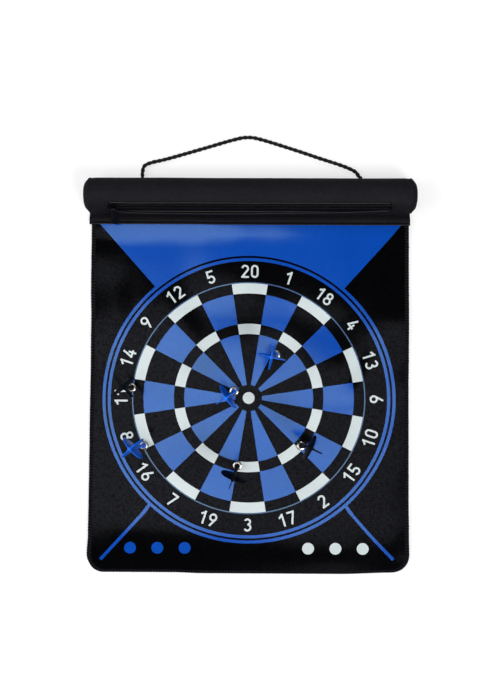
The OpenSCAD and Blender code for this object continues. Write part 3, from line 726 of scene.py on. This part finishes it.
def bent(point):
    """A point of the flat mat where it lies on the real, soft one."""
    x, y, z = point
    s = settings().mat
    # The whole mat widens downward and is turned, but little at its right edge
    held = 1 - 0.8 * ramp(x, 0.13, 0.17)
    aside = s.turn * (y - 0.1) * held + x * (0.0021 - 0.031 * y) + 0.6 * MM * (1 - held)
    down = s.turn * x * (1 - 0.6 * ramp(y, -0.1, -0.17)) + 0.0047 * max(y - 0.055, -0.17)
    # The lower edge is drawn down, most in the middle
    slack = 1 - 0.43 * ramp(x, -0.05, -0.08) - 0.95 * ramp(x, 0.1, 0.165)
    down += s.stretch * slack * ramp(y, SHEET_LOW.y + 11 * MM, SHEET_LOW.y + 1 * MM)
    # Lower corners inside the seam, and the diagonals outside the rings
    corner = ramp(abs(x) + y, -0.033, -0.019) * ramp(abs(x), 0.17, 0.163)
    corner *= ramp(y, -0.11, -0.125) * ramp(y, -0.1875, -0.1805)
    diagonal = corner * ramp(hypot(x, y), 0.1605, 0.1665)
    corner *= ramp(x, 0.1, 0.155)
    aside += (DIAGONAL_IN_LEFT if x < 0 else -DIAGONAL_IN_RIGHT) * diagonal - CORNER_IN * corner
    down += DIAGONAL_DOWN * diagonal - CORNER_UP * corner
    # Side edges
    rim = ramp(abs(x), 0.158, 0.17) * ramp(y, -0.172, -0.152)
    aside += rim * (EDGE_IN_LEFT * ramp(y, 0.12, 0.085) if x < 0 else -EDGE_IN_RIGHT * ramp(y, 0.05, 0.01))
    return Vector((x + aside, y - down * ramp(y, HEM_LOW.y + 12 * MM, HEM_LOW.y - 18 * MM), z + lift(x, y)))


# Stage

def in_view(tree):
    """Is 1 for what the camera sees, also through something clear, and 0 for light that bounces."""
    path = put(tree, "ShaderNodeLightPath").outputs
    return maths(tree, "MAXIMUM", path["Is Camera Ray"], path["Is Transmission Ray"])


class DARTBOARD_OT_stage(bpy.types.Operator):
    """White floor, soft studio light and the camera straight above the board"""

    bl_idname = "dartboard.stage"
    bl_label = "Stage"

    def execute(self, context):
        s = settings().stage
        scene = context.scene
        scene.view_settings.view_transform = "Standard"
        clear()
        bpy.ops.object.camera_add(location=s.eye, rotation=(0, 0, s.roll))
        camera = context.object
        camera.data.sensor_fit = "AUTO"
        camera.data.sensor_width = 36
        camera.data.lens = s.lens
        camera.data.clip_start = 0.01
        scene.camera = camera
        self.floor(s)
        self.lamp("Key light", (1.1, -1.2, 2.0), (0.95, 0.95), s.key_power)
        self.lamp("Fill light", (-1.6, -0.1, 1.3), (1.6, 1.6), s.fill_power)
        self.lamp("Rim light", (0.1, 1.0, 1.05), (1.2, 0.3), s.rim_power)
        self.lamp("Soft box", (-0.06, -0.175, 1.75), (1.0, 0.73), s.box_power)
        self.lamp("Soft box wing", (-0.38, -0.175, 1.76), (0.36, 0.73), s.wing_power)
        self.sky(scene, s)
        return {"FINISHED"}

    def floor(self, s):
        clear()
        bpy.ops.mesh.primitive_plane_add(size=s.floor, location=(0, 0, -0.4 * MM))
        floor = named("floor")
        bpy.ops.object.transform_apply(location=True)
        made, tree, surface = start_material("studio_floor", "floor", Roughness=0.9, Specular_IOR_Level=0.1,
                                             Emission_Color=(1, 1, 1, 1))
        cloud = effect(tree, mottle_group, Vector=place_of(tree), Size=3.0)
        tint(tree, surface, s.floor_tone, cloud["Value"], 0.99, 1.0)
        feed(tree, surface, {"Emission Strength": maths(tree, "MULTIPLY", in_view(tree), s.floor_glow)})
        floor.data.materials.append(made)

    def lamp(self, name, place, size, power):
        clear()
        aim = (-Vector(place)).to_track_quat("-Z", "Y").to_euler()
        bpy.ops.object.light_add(type="AREA", location=place, rotation=aim)
        lamp = bpy.context.object
        lamp.name = name
        lamp.data.shape = "RECTANGLE"
        lamp.data.size, lamp.data.size_y = size
        lamp.data.energy = power

    def sky(self, scene, s):
        world = bpy.data.worlds.new("studio")
        world.use_nodes = True
        scene.world = world
        tree = world.node_tree
        strength = put(tree, "ShaderNodeMapRange", {"Value": in_view(tree), "To Min": s.sky, "To Max": 1.0})
        feed(tree, tree.nodes["Background"], {"Color": (1, 1, 1, 1), "Strength": strength.outputs[0]})


# Cord

class DARTBOARD_OT_cord(bpy.types.Operator):
    """Hanging cord of twisted strands, with a knot inside the tube at each end"""

    bl_idname = "dartboard.cord"
    bl_label = "Hanging cord"

    def execute(self, context):
        s = settings().cord
        exits = [Vector((centre_of("eyelet_" + side).x, EYELET_Y, EYELET_Z)) for side in SIDES]
        leads = [p + EYELET_OUT * s.lead for p in exits]
        lie = [Vector([MM * c for c in p]) for p in CORD_LIE]
        line, run = even(catmull([exits[0], leads[0], *lie, leads[1], exits[1]], 12), CORD_STEPS)
        axes = cross_axes(line)
        strand_r = s.diameter / 2.4
        pieces = []
        for k in range(s.strands):
            wound = []
            for i, (p, (a, b)) in enumerate(zip(line, axes)):
                t = tau * (i / CORD_STEPS * run / s.lay_length + k / s.strands)
                wound.append(p + 0.54 * strand_r * (cos(t) * a + sin(t) * b))
            pieces.append(tube("strand", wound, strand_r, 7))
        cord = settle(join("hanging_rope", pieces), "header", ["hanging_cord"], "cord_yarn")
        for side in SIDES:
            self.knot(side, s)
        return {"FINISHED"}

    def knot(self, side, s):
        centre = centre_of("cord_knot_" + side)
        scale = (s.knot - s.diameter * 0.8) / 6
        loop = []
        for i in range(KNOT_STEPS + 1):
            t = tau * i / KNOT_STEPS
            loop.append(centre + scale * Vector((sin(t) + 2 * sin(2 * t), cos(t) - 2 * cos(2 * t), -1.2 * sin(3 * t))))
        knot = tube("rope_knot_" + side, loop, s.diameter * 0.4, 8, closed=True)
        settle(knot, "header", ["cord_knot_" + side], "cord_yarn")


# Mat

class DARTBOARD_OT_mat(bpy.types.Operator):
    """Soft laminated mat that lies in slight waves"""

    bl_idname = "dartboard.mat"
    bl_label = "Mat sheet"

    def execute(self, context):
        s = settings().mat
        wide, tall = SHEET_HIGH.x - SHEET_LOW.x, SHEET_HIGH.y - SHEET_LOW.y

        def place(u, v):
            x, y = SHEET_LOW.x + u * wide, SHEET_LOW.y + v * tall
            over, under = abs(x) - (wide / 2 - s.corner), SHEET_LOW.y + s.corner - y
            if over > 0 and under > 0:
                share = max(over, under) / hypot(over, under)
                x = (abs(x) - over + over * share) * (1 if x > 0 else -1)
                y = y + under - under * share
            return bent((x, y, SHEET_HIGH.z))

        sheet = grid("mat_sheet", 116, 128, place)
        modify(sheet, "SOLIDIFY", thickness=SHEET_HIGH.z, offset=-1, material_offset=1, material_offset_rim=1)
        settle(sheet, "mat", ["face_sheet", "magnetic_core", "backing_cloth"], "satin_vinyl", "woven_backing")
        smooth(sheet, 40)
        return {"FINISHED"}


class DARTBOARD_OT_print(bpy.types.Operator):
    """Blue and pale inks and the numerals, bent to the mat"""

    bl_idname = "dartboard.print"
    bl_label = "Print"

    def execute(self, context):
        for node, ink in (("blue_print", "satin_blue_ink"), ("white_print", "satin_pale_ink"),
                          ("numerals", "satin_pale_ink")):
            piece = copy_of(node, node + "_ink")
            self.slice(0, SHEET_LOW.x, SHEET_HIGH.x)
            self.slice(1, SHEET_LOW.y, SHEET_HIGH.y)
            clear()
            for point in piece.data.vertices:
                x, y, z = point.co
                point.co = bent((x, y, z + min(0.14 * MM, 0.5 * lift(x, y))))
            settle(piece, "mat", [node], ink)
            smooth(piece, SHARP)
        return {"FINISHED"}

    def slice(self, axis, low, high):
        """Cuts the ink across every 8 mm or less, so that it can follow the waves."""
        count = ceil((high - low) / (8 * MM))
        normal = Vector((0, 0, 0))
        normal[axis] = 1
        for i in range(1, count):
            bpy.ops.mesh.select_all(action="SELECT")
            bpy.ops.mesh.bisect(plane_co=normal * (low + (high - low) * i / count), plane_no=normal)


class DARTBOARD_OT_overlock(bpy.types.Operator):
    """Overlock seam: slanted loops of thread round the three free edges"""

    bl_idname = "dartboard.overlock"
    bl_label = "Overlock seam"

    def execute(self, context):
        s = settings().mat
        half, low, high = SEAM_HIGH.x, SEAM_LOW.y, SEAM_HIGH.y
        r = s.corner + (SHEET_LOW.y - SEAM_LOW.y)
        side, arc, bottom = high - low - r, pi / 2 * r, 2 * (half - r)
        total = 2 * side + 2 * arc + bottom

        def edge(run):
            """Point on the mat's outline, and the way inward. The right half mirrors the left one."""
            if run > total / 2:
                return [Vector((-p.x, p.y, 0)) for p in edge(total - run)]
            if run <= side:
                return Vector((-half, high - run, 0)), Vector((1, 0, 0))
            run -= side
            if run <= arc:
                way = Vector((-cos(run / r), -sin(run / r), 0))
                return Vector((r - half, low + r, 0)) + r * way, -way
            return Vector((r - half + run - arc, low, 0)), Vector((0, 1, 0))

        # Distance from the edge and height, in millimetres
        reach, top = s.seam_reach / MM, SHEET_HIGH.z / MM
        section = [(reach, top + 0.1), (reach - 0.3, top + 0.5), (0.6 * reach, top + 0.75), (1.2, top + 0.75),
                   (0.3, top + 0.45), (0, top - 0.4), (0.05, 0.7), (0.5, 0.12), (1.05, 0.15), (1.02, top - 0.2),
                   (1.2, top + 0.02)]

        def place(u, v):
            inset, z = section[round(v * len(section)) % len(section)]
            at, inward = edge(u * total)
            loop = sin(pi * (u * SEAM_LOOPS + 2 * v)) ** 2
            if inset > 0.9 * reach:
                inset += 1.1 * (loop - 0.5)
            if z > top:
                z = top + (z - top) * (0.1 + 0.95 * loop)
            elif inset < 0.2:
                inset += 0.7 * (1 - loop) + 0.4 * wander(u * total * 190, 4.4, 0)
            inset *= 1 - 0.3 * abs(inward.y)
            return bent(at + MM * inset * inward + Vector((0, 0, MM * z)))

        seam = grid("overlock_seam", LOOP_STEPS * SEAM_LOOPS, len(section), place)
        close(seam)
        smooth(seam, 60)
        # The seam's finish paints shade between the loops and a highlight on their crests
        settle(seam, "mat", ["edge_overlock"], "seam_thread")
        return {"FINISHED"}


class DARTBOARD_OT_hem(bpy.types.Operator):
    """Folded strip that joins the mat to the tube, with its row of stitches"""

    bl_idname = "dartboard.hem"
    bl_label = "Hem"

    def execute(self, context):
        s = settings().mat
        wide = HEM_HIGH.x - HEM_LOW.x
        front, fold = HEM_LOW.y, HEM_HIGH.y - HEM_HIGH.z / 2
        high, mid = HEM_HIGH.z, HEM_HIGH.z / 2
        # Distance from the front edge and height, in millimetres
        far, top = (fold - front) / MM, high / MM
        section = [(0.1, 2.25), (0, 2.6), (0.25, top - 0.12), (1.1, top), (2.2, top - 0.8), (3.2, top + 0.1),
                   (far - 4.3, top + 0.5), (far - 2.8, top + 0.5), (far - 1.2, top + 0.4), (far + 0.2, top - 0.2),
                   (far + 1.6, top - 1.2), (far + 3.4, top - 1.6), (far + 5.4, top - 1.5), (far + 5.4, 0.9),
                   (far + 2.5, 0.8), (far + 1.2, 0.6), (far + 0.9, 0.2), (far - 0.5, 0), (far - 4, 0), (1, 0),
                   (0.1, 0.2), (0.1, 0.5), (far - 3.4, 0.55), (far - 3.2, 2.2)]

        def hang(x):
            """How far the strip's free edge hangs down over the mat."""
            return 0.6 * MM + 0.6 * MM * ramp(x, -0.07, -0.03)

        def place(u, v):
            y, z = section[round(v * len(section)) % len(section)]
            x = HEM_LOW.x + u * wide
            up = 0.0
            if z > 2.2:
                sway = wander(x * 26, 3.1, 0.4)
                up = lift(x, front) * ramp(y, far, 0) + 0.22 * MM * sway
                up += 0.1 * MM * sin(tau * x / s.stitch_pitch) * (y < 3)
            if y < 1:
                y += 0.3 * wander(x * 18, 7.7, 0)
            return Vector((x, front + MM * y - hang(x) * ramp(y, far, 0), MM * z + up))

        strip = grid("hem_strip", 300, len(section), place)
        close(strip)
        smooth(strip, 50)
        count = int((wide - 6 * MM) / s.stitch_pitch)
        row = []
        for i in range(count):
            x = (i - (count - 1) / 2) * s.stitch_pitch
            z = high - 0.2 * MM + 0.85 * lift(x, front)
            row.append(Matrix.Translation((x, front + 2.2 * MM - hang(x), z)) @ Matrix.Rotation(0.06, 4, "Z"))
        # Pale tube along the strip's front edge, whose colour is a painted highlight on that edge
        edge = []
        for i in range(201):
            x = HEM_LOW.x + wide * i / 200
            edge.append(Vector((x, front + 0.2 * MM - hang(x), 2.75 * MM + lift(x, front))))
        settle(tube("hem_painted_highlight", edge, 0.4 * MM, 6), "mat", [], "cut_edge")
        sewn = repeat("hem_stitches", stitch(s.stitch_pitch * 0.75, 1.5 * MM), row)
        settle(sewn, "mat", [], "stitch_thread")
        dress(strip, "grained_leatherette")
        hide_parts("hem_binding")
        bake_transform(strip)
        return {"FINISHED"}


# Header tube

def lips(x):
    """Places of the window's upper and lower lip round the tube, and how far the window is open there."""
    s = settings().header
    opening = ramp(abs(x), s.window / 2, s.window / 2 - 3 * MM)
    hang = s.sag * max(0.0, 1 - (2 * x / s.window) ** 4) * (1 - 0.45 * ramp(x, -0.03, 0.15))
    waver = radians(1.2) * wander(x * 40, 1.7, 0)
    return s.zip_angle + (waver - s.lip) * opening, s.zip_angle + (s.lip + hang + 2 * waver) * opening, opening


def flare(x):
    """How far the lower lip stands off the tube: it hangs open most at the left."""
    half = settings().header.window / 2
    return 1.2 * MM * ramp(abs(x), half, half - 20 * MM) * (1 - 0.9 * ramp(x, -0.02, 0.12))


def end_of(x):
    """Distance of the sleeve's end on the side of x: the right one is pushed out a little."""
    return SLEEVE_END + (1.1 * MM if x > 0 else 0)


def tube_point(x, turn, out=0.0):
    """Point on the soft tube, which is slightly dented, draws in at its seams and rounds off at its ends."""
    dent = 0.35 * wander(x * 14, 2.2 * cos(turn), 2.2 * sin(turn))
    dent += 0.12 * wander(x * 70, 5 * cos(turn), 5 * sin(turn))
    past = (abs(x) - end_of(x)) / MM
    seam = ramp(past, -6.5, -2) - ramp(past, -2, 0)
    r = settings().header.radius + MM * (dent - 0.45 * seam - 0.48 * max(0.0, past - 0.4) ** 2) + out
    return Vector((x, TUBE_Y - r * sin(turn), max(TUBE_Z + r * cos(turn), 0.15 * MM)))


class DARTBOARD_OT_sleeve(bpy.types.Operator):
    """Leatherette tube with its zip window, turned lips and the seam allowance under it"""

    bl_idname = "dartboard.sleeve"
    bl_label = "Header sleeve"

    def execute(self, context):
        s = settings().header

        def place(u, v):
            x = (2 * u - 1) * (end_of(u - 0.5) + 2.4 * MM)
            upper, lower, opening = lips(x)
            from_lip = round(min(v, 1 - v) * SLEEVE_ROWS)
            roll = LIP_ROLL[from_lip] if from_lip < len(LIP_ROLL) else 0.0
            open_out = flare(x) * mound((1 - v) * SLEEVE_ROWS, 0, 6)
            return tube_point(x, upper + v * (lower - tau - upper), roll * opening * MM + open_out)

        sleeve = grid("sleeve_skin", 232, SLEEVE_ROWS, place)
        merge(sleeve, 10 * MERGE)
        modify(sleeve, "SOLIDIFY", thickness=s.wall, offset=-1)
        allowance = grid("allowance", 90, 6, self.allowance)
        modify(allowance, "SOLIDIFY", thickness=s.wall * 0.8, offset=-1)
        sleeve = join("sleeve_skin", [sleeve, allowance])
        smooth(sleeve, 60)
        settle(sleeve, "header", ["header_sleeve"], "grained_leatherette")
        self.stitches(s)
        self.edging(s)
        bpy.data.objects["tube_former"].material_slots[0].material = finish("former_card")
        for side in (-1, 1):
            self.panel(side, s)
        return {"FINISHED"}

    def allowance(self, u, v):
        x = SLEEVE_END * (2 * u - 1)
        y = HEM_HIGH.y + 0.35 * MM + v * (TUBE_Y - HEM_HIGH.y - 3 * MM)
        return Vector((x, y, 1.2 * MM + 0.15 * MM * wander(x * 30, y * 30, 0)))

    def sewn(self, x, turn, out=0.0):
        return Matrix.Translation(tube_point(x, turn, 0.1 * MM + out)) @ Matrix.Rotation(turn, 4, "X")

    def stitches(self, s):
        """Rows of stitches along both lips and across both ends of the window."""
        pitch = settings().mat.stitch_pitch * 0.88
        run = s.window - 4 * MM
        beside = radians(5)
        places = []
        count = int(run / pitch)
        for i in range(count + 1):
            x = (i / count - 0.5) * run
            upper, lower, _ = lips(x)
            places.append(self.sewn(x, upper - beside))
            places.append(self.sewn(x, lower + beside, 0.75 * flare(x)))
        span = int(2.2 * s.lip * s.radius / pitch)
        for side in (-1, 1):
            for i in range(span + 1):
                turn = s.zip_angle + 1.1 * s.lip * (2 * i / span - 1)
                places.append(self.sewn(side * (s.window / 2 + 1.8 * MM), turn) @ Matrix.Rotation(pi / 2, 4, "Z"))
        row = repeat("window_stitches", stitch(pitch * 0.68, 1.0 * MM), places)
        settle(row, "header", [], "stitch_thread")

    def edging(self, s):
        """Pale tubes along both lips: their lighter colour is a painted highlight on the lips' edges."""
        half = s.window / 2 - 3 * MM
        cut = []
        for lip, drop_in, thick in ((0, -0.25, 0.5), (1, -0.1, 0.36)):
            line = []
            for i in range(161):
                x = half * (i / 80 - 1)
                line.append(tube_point(x, lips(x)[lip], drop_in * MM + lip * flare(x)))
            cut.append(tube("edge", line, thick * MM, 6))
        settle(join("lip_painted_highlight", cut), "header", [], "cut_edge")

    def panel(self, side, s):
        """Soft disc in the tube's end, puckered where it is sewn in."""
        rim = s.radius - 0.5 * MM
        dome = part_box("end_panel_right")[1][0] - SLEEVE_END + 1.2 * MM
        end = SIDES[side > 0]

        def place(u, v):
            a = side * tau * v
            crumple = wander(3 * u * cos(a), 3 * u * sin(a), side)
            pucker = 0.35 * u ** 6 * sin(26 * a) + 0.5 * u * (1 - u) * crumple
            x = end_of(side) + dome * (1 - u ** 5) + pucker * MM
            return Vector((side * x, TUBE_Y + rim * u * cos(a), TUBE_Z + rim * u * sin(a)))

        disc = grid("end_disc_" + end, 14, 78, place)
        merge(disc)
        modify(disc, "SOLIDIFY", thickness=0.8 * MM, offset=-1)
        smooth(disc)
        settle(disc, "header", ["end_panel_" + end], "grained_leatherette")


class DARTBOARD_OT_zip(bpy.types.Operator):
    """Zip: two woven tapes, two rows of teeth, end stops, the slider and its pull tab"""

    bl_idname = "dartboard.zip"
    bl_label = "Zip"

    def execute(self, context):
        s = settings().zip
        for name, side in (("upper", 1), ("lower", -1)):
            self.tape(name, side, s)
            self.teeth(name, side, s)
        for node, body, finish_name in (("zip_end_stops", "header", "gunmetal"), ("zip_slider", "slider", "gunmetal"),
                                        ("zip_pull_tab", "pull_tab", "pull_lacquer"),
                                        ("eyelet_left", "header", "gunmetal"), ("eyelet_right", "header", "gunmetal")):
            settle(eased(node, s.edge), body, [node], finish_name)
        return {"FINISHED"}

    def tape(self, name, side, s):
        """Tape from the teeth to under its lip. The lower one lies deeper there."""
        middle = settings().header.zip_angle
        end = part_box("zip_tape_upper")[1][0]
        curl = 0.35 if side > 0 else -0.8

        def place(u, v):
            x = end * (2 * u - 1)
            upper, lower, opening = lips(x)
            near = middle - side * radians(2.2)
            far = upper - radians(9) if side > 0 else lower + radians(7)
            if opening == 0:
                far = middle - side * radians(24)
            turn = near + v * (far - near)
            r = s.tape + MM * (curl * v ** 2 + 0.1 * wander(x * 60, v * 2, side))
            return Vector((x, TUBE_Y - r * sin(turn), TUBE_Z + r * cos(turn)))

        strip = grid("tape_" + name, 200, 8, place)
        modify(strip, "SOLIDIFY", thickness=0.5 * MM, offset=side)
        smooth(strip, 50)
        settle(strip, "header", ["zip_tape_" + name], "woven_tape")

    def teeth(self, name, side, s):
        low, high = corners("zip_teeth_" + name)
        count = round((high.x - low.x) / s.pitch + 0.4)
        clear()
        bpy.ops.mesh.primitive_cube_add(size=1)
        tooth = named("tooth")
        tooth.data.transform(Matrix.Diagonal((1.25 * MM, 2.3 * MM, 1.5 * MM, 1)))
        modify(tooth, "BEVEL", width=0.32 * MM, segments=1, limit_method="NONE")
        smooth(tooth, 60)
        turn = Matrix.Rotation(settings().header.zip_angle - side * s.row / (s.tape + 0.2 * MM), 4, "X")
        out = Matrix.Translation((0, 0, s.tape + 0.85 * MM))
        first = low.x + 0.6 * MM
        places = [Matrix.Translation((first + i * s.pitch, TUBE_Y, TUBE_Z)) @ turn @ out for i in range(count)]
        settle(repeat("teeth_" + name, tooth, places), "header", ["zip_teeth_" + name], "zip_nylon")


class DARTBOARD_OT_darts(bpy.types.Operator):
    """Six darts, each of a plated disc magnet, a grooved stem and a four-finned flight"""

    bl_idname = "dartboard.darts"
    bl_label = "Darts"

    def execute(self, context):
        s = settings().darts
        for dart in DARTS:
            plastic = "dart_" + dart.split("_")[0]
            settle(self.magnet(dart, s), dart, [dart + "_magnet"], "nickel")
            settle(eased(dart + "_stem", s.fin_edge), dart, [dart + "_stem"], plastic)
            settle(eased(dart + "_flight", s.fin_edge), dart, [dart + "_flight"], plastic)
        return {"FINISHED"}

    def magnet(self, dart, s):
        """Disc whose back falls away from the stem's collar, on the axis of the CAD disc."""
        mesh = bpy.data.objects[dart + "_magnet"].data
        back = max((f for f in mesh.polygons if f.normal.z > 0.5), key=lambda f: f.center.dot(f.normal))
        along = back.normal.copy()
        side = along.orthogonal().normalized()
        front = along.cross(side)
        rim = [p.co for p in mesh.vertices if abs((p.co - back.center).dot(along)) < 0.01 * MM]
        middle = along * back.center.dot(along)
        for way in (side, front):
            spread = [p.dot(way) for p in rim]
            middle += way * (min(spread) + max(spread)) / 2
            radius = (max(spread) - min(spread)) / 2
        foot = min((p.co - middle).dot(along) for p in mesh.vertices)
        edge, fall = s.magnet_edge, tan(s.magnet_slope)
        # Distance from the axis and height over the CAD disc's back, from the hole over the back to the foot
        section = [(0, -s.bore_depth), (s.bore, -s.bore_depth), (s.bore, 0), (s.shelf, 0)]
        for part in (0.3, 0.65, 1):
            out = part * (radius - edge - s.shelf)
            section.append((s.shelf + out, -fall * out * (0.85 + 0.2 * part)))
        low = section[-1][1]
        section += [(radius - 0.4 * edge, low - 0.3 * edge), (radius, low - edge), (radius, foot + 2 * edge),
                    (radius - 0.3 * edge, foot + 1.2 * edge), (radius - edge, foot + 0.6 * edge),
                    (radius / 2, foot + 0.15 * edge), (0, foot)]

        def place(u, v):
            r, height = section[round(v * (len(section) - 1))]
            return middle + along * height + (side * cos(tau * u) + front * sin(tau * u)) * r

        piece = grid(dart + "_magnet_piece", 32, len(section) - 1, place)
        close(piece)
        smooth(piece, 35)
        return piece


STEPS = ["stage", "cord", "mat", "print", "overlock", "hem", "sleeve", "zip", "darts"]


class DARTBOARD_PT_panel(bpy.types.Panel):
    """Lists the dartboard's settings and the steps that make it"""

    bl_idname = "DARTBOARD_PT_panel"
    bl_label = "Roll-up Dartboard"
    bl_space_type = "VIEW_3D"
    bl_region_type = "UI"
    bl_category = "Dartboard"

    def draw(self, context):
        for step in STEPS:
            self.layout.operator("dartboard." + step)
        for group in settings().bl_rna.properties:
            if group.type != "POINTER" or group.identifier == "rna_type":
                continue
            box = self.layout.box()
            box.label(text=group.identifier.title())
            held = getattr(settings(), group.identifier)
            for value in held.bl_rna.properties:
                if value.identifier not in ("rna_type", "name"):
                    box.prop(held, value.identifier)


CLASSES = [
    StageSettings, CordSettings, MatSettings, HeaderSettings, ZipSettings, DartSettings, FinishSettings,
    DartboardSettings, DARTBOARD_OT_stage, DARTBOARD_OT_cord, DARTBOARD_OT_mat, DARTBOARD_OT_print,
    DARTBOARD_OT_overlock, DARTBOARD_OT_hem, DARTBOARD_OT_sleeve, DARTBOARD_OT_zip, DARTBOARD_OT_darts,
    DARTBOARD_PT_panel,
]


def register():
    for item in CLASSES:
        bpy.utils.register_class(item)
    bpy.types.Scene.dartboard = PointerProperty(type=DartboardSettings)


def unregister():
    del bpy.types.Scene.dartboard
    for item in reversed(CLASSES):
        bpy.utils.unregister_class(item)


def main():
    register()
    for step in STEPS:
        getattr(bpy.ops.dartboard, step)()
    clear()


if __name__ == "__main__":
    main()
